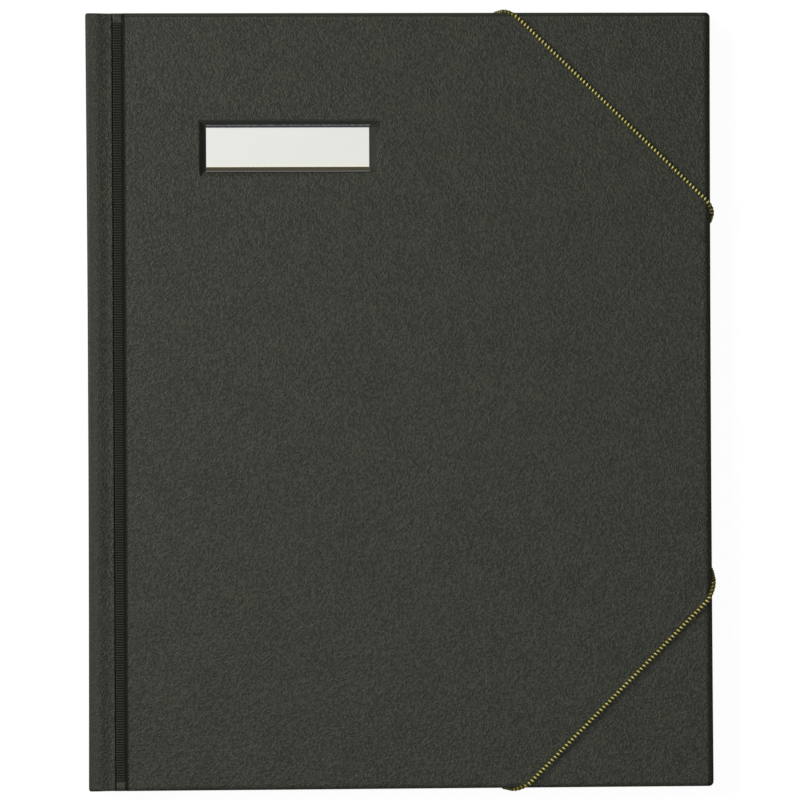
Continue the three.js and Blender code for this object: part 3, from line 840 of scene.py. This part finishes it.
# Linings: black paper pasted over the turned-in leatherette, pressed down on the board inside it, so
# that the edge of the turn-in shows as a soft step round the panel.
lining_thickness = 0.25 * MM
step_depth = 0.45 * MM
step_run = 0.6 * MM
step_round = 0.2 * MM
step_inset = 0.1 * MM
paper_dark = colour(0.012, 0.0125, 0.0135)
paper_pale = colour(0.027, 0.028, 0.029)
lining_finish = Finish("lining_paper", Roughness=0.82)
lining_fibres = lining_finish.noise(0.8 * MM, 4.0, 0.65)
lining_cloud = lining_finish.noise(30 * MM, 2.0)
lining_finish.feed(lining_finish.surface, {
    "Base Color": lining_finish.mix(lining_fibres * 0.7 + lining_cloud * 0.3, paper_dark, paper_pale),
})
lining_finish.bump(lining_fibres, 0.04 * MM, 0.5)


def is_bend(edge):
    """Whether an edge lies between two faces that slope differently."""
    slopes = [face.normal.z for face in edge.link_faces]
    return len(slopes) == 2 and abs(slopes[0] - slopes[1]) > 0.01


for cover, outward in covers.items():
    low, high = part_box(f"{cover}_lining")
    paper = bmesh.new()
    inner_level = low.z if outward > 0 else high.z
    middle = Vector(((low.x + high.x) / 2, 0, inner_level))
    placing = Matrix.Translation(middle) @ Matrix.Diagonal((high.x - low.x, high.y - low.y, 1, 1))
    bmesh.ops.create_grid(paper, x_segments=1, y_segments=1, size=0.5, matrix=placing)
    panel = grown(turn_in_mouth(cover), (-step_inset,) * 4)
    sink(paper, paper.faces[:], panel, step_run, -outward * step_depth)
    round_edges(paper, [e for e in paper.edges if is_bend(e)], step_round, 2)
    if outward > 0:
        bmesh.ops.reverse_faces(paper, faces=paper.faces)
    paper_mesh = finished(f"{cover}_paper", paper)
    paper_mesh.shade_smooth()
    lining = show(f"{cover}_paper", paper_mesh, lining_finish, [f"{cover}_lining"])
    thicken(lining, lining_thickness)
    lining.modifiers.new("even_light", "WEIGHTED_NORMAL").keep_sharp = True
    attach(lining, f"{cover}_cover")


# Label: a blank white card in the sunk pocket, under a strip of clear film. The film is wider than
# the card, and where it lies beyond the card it is painted with reflections, a bluish band above
# it and a brownish one below, and with a painted highlight along its head and tail edges.
card_edge_full = 0.5 * MM
card_edge_end = 0.8 * MM
head_line_full = 0.3 * MM
head_line_end = 0.45 * MM
tail_line_from = 0.3 * MM
tail_line_to = 0.5 * MM
clear_to = 0.2 * MM
film_blur = 0.05 * MM
card_finish = Finish("white_card", Roughness=0.6)
card_cloud = card_finish.noise(12 * MM, 3.0)
card_white = card_finish.mix(card_cloud, colour(0.86, 0.86, 0.81), colour(0.88, 0.88, 0.84))
# Painted highlight: a pale yellowish line along the card's tail edge.
tail_edge_highlight = 1 - card_finish.ramp(card_finish.y - card_low.y, card_edge_full, card_edge_end)
card_finish.feed(card_finish.surface, {
    "Base Color": card_finish.mix(tail_edge_highlight, card_white, colour(0.93, 0.92, 0.76)),
})
finish_node("label_card", card_finish)

film_low, film_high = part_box("label_window")
film_finish = Finish("clear_film", Roughness=0.35, Specular_IOR_Level=0.15)
above_card = film_finish.ramp(film_finish.y, card_high.y - film_blur, card_high.y + film_blur)
below_card = 1 - film_finish.ramp(film_finish.y, card_low.y - film_blur, card_low.y + film_blur)
by_card = film_finish.ramp(film_finish.x, card_low.x - film_blur, card_low.x + film_blur)
glints = film_finish.ramp(film_finish.noise(1.6 * MM, 2.0), 0.4, 0.6)
from_film_head = film_high.y - film_finish.y
from_film_tail = film_finish.y - film_low.y
# Painted highlight along the film's head edge, glinting in spots, and along its tail edge.
head_line = 1 - film_finish.ramp(from_film_head, head_line_full, head_line_end)
tail_line = film_finish.strip(from_film_tail, tail_line_from, tail_line_to, film_blur)
on_film = film_finish.ramp(from_film_tail, clear_to, clear_to + film_blur)
edge = head_line * (0.4 + glints * 0.6) + tail_line
# Painted reflections: a bluish band above the card and a brownish one below it.
reflection_bands_colour = film_finish.mix(below_card, colour(0.05, 0.057, 0.068), colour(0.085, 0.077, 0.048))
film_finish.feed(film_finish.surface, {
    "Base Color": film_finish.mix(edge, reflection_bands_colour, colour(0.17, 0.18, 0.18)),
    "Alpha": 0.03 + ((above_card + below_card) * 0.6 + edge * 0.3) * by_card * on_film,
})
finish_node("label_window", film_finish)


# Eyelets and cord ends: rolled black eyelets in the back cover, and a black cap crimped on each cord
# end, with a bar that lies across the eyelet so that the cord can't pull out.
enamel = Finish("black_enamel")
enamel_wear = enamel.noise(1.4 * MM, 3.0)
enamel.feed(enamel.surface, {
    "Base Color": enamel.mix(enamel_wear, colour(0.012, 0.012, 0.012), colour(0.03, 0.03, 0.03)),
    "Roughness": 0.25 + enamel_wear * 0.15,
})
for number in (1, 2, 3, 4):
    finish_node(f"eyelet_{number}", enamel)
    finish_node(f"cord_end_{number}", enamel)


# Floor and light: a white table under a large soft lamp on the spine's side of the head and a weak one
# over the folder, in an evenly pale room. The camera sees the table as white with a faint shadow.
floor_finish = Finish("floor", Roughness=0.9, Base_Color=colour(0.85, 0.85, 0.85))
light_path = floor_finish.tree.nodes.new("ShaderNodeLightPath")
seen = Shade(floor_finish.tree, light_path.outputs["Is Camera Ray"])
plain_white = floor_finish.node("Emission", Color=colour(1, 1, 1), Strength=1.06)
share_of_white = 0.88
floor_finish.cover(seen * share_of_white, plain_white)
floor_reach = 3.0
corners = [[(x, y, 0) for x in (-floor_reach, floor_reach)] for y in (-floor_reach, floor_reach)]
floor = bpy.data.objects.new("floor", sheet("floor", corners))
bpy.context.scene.collection.objects.link(floor)
floor.data.materials.append(floor_finish.material)

lamps = {
    "key": {"place": (-1.45, 0.72, 1.05), "power": 40.0, "size": 1.0},
    "fill": {"place": (0.1, -0.2, 1.2), "power": 5.4, "size": 0.6},
}
for lamp_name, lamp in lamps.items():
    light = bpy.data.lights.new(lamp_name, "AREA")
    light.energy = lamp["power"]
    light.size = lamp["size"]
    holder = bpy.data.objects.new(lamp_name, light)
    holder.location = lamp["place"]
    holder.rotation_euler = (-Vector(lamp["place"])).to_track_quat("-Z", "Y").to_euler()
    bpy.context.scene.collection.objects.link(holder)

room = bpy.data.worlds.new("room")
bpy.context.scene.world = room
room.use_nodes = True
background = room.node_tree.nodes["Background"]
background.inputs["Color"].default_value = colour(1, 1, 1)
background.inputs["Strength"].default_value = 0.10
bpy.context.scene.view_settings.view_transform = "Standard"
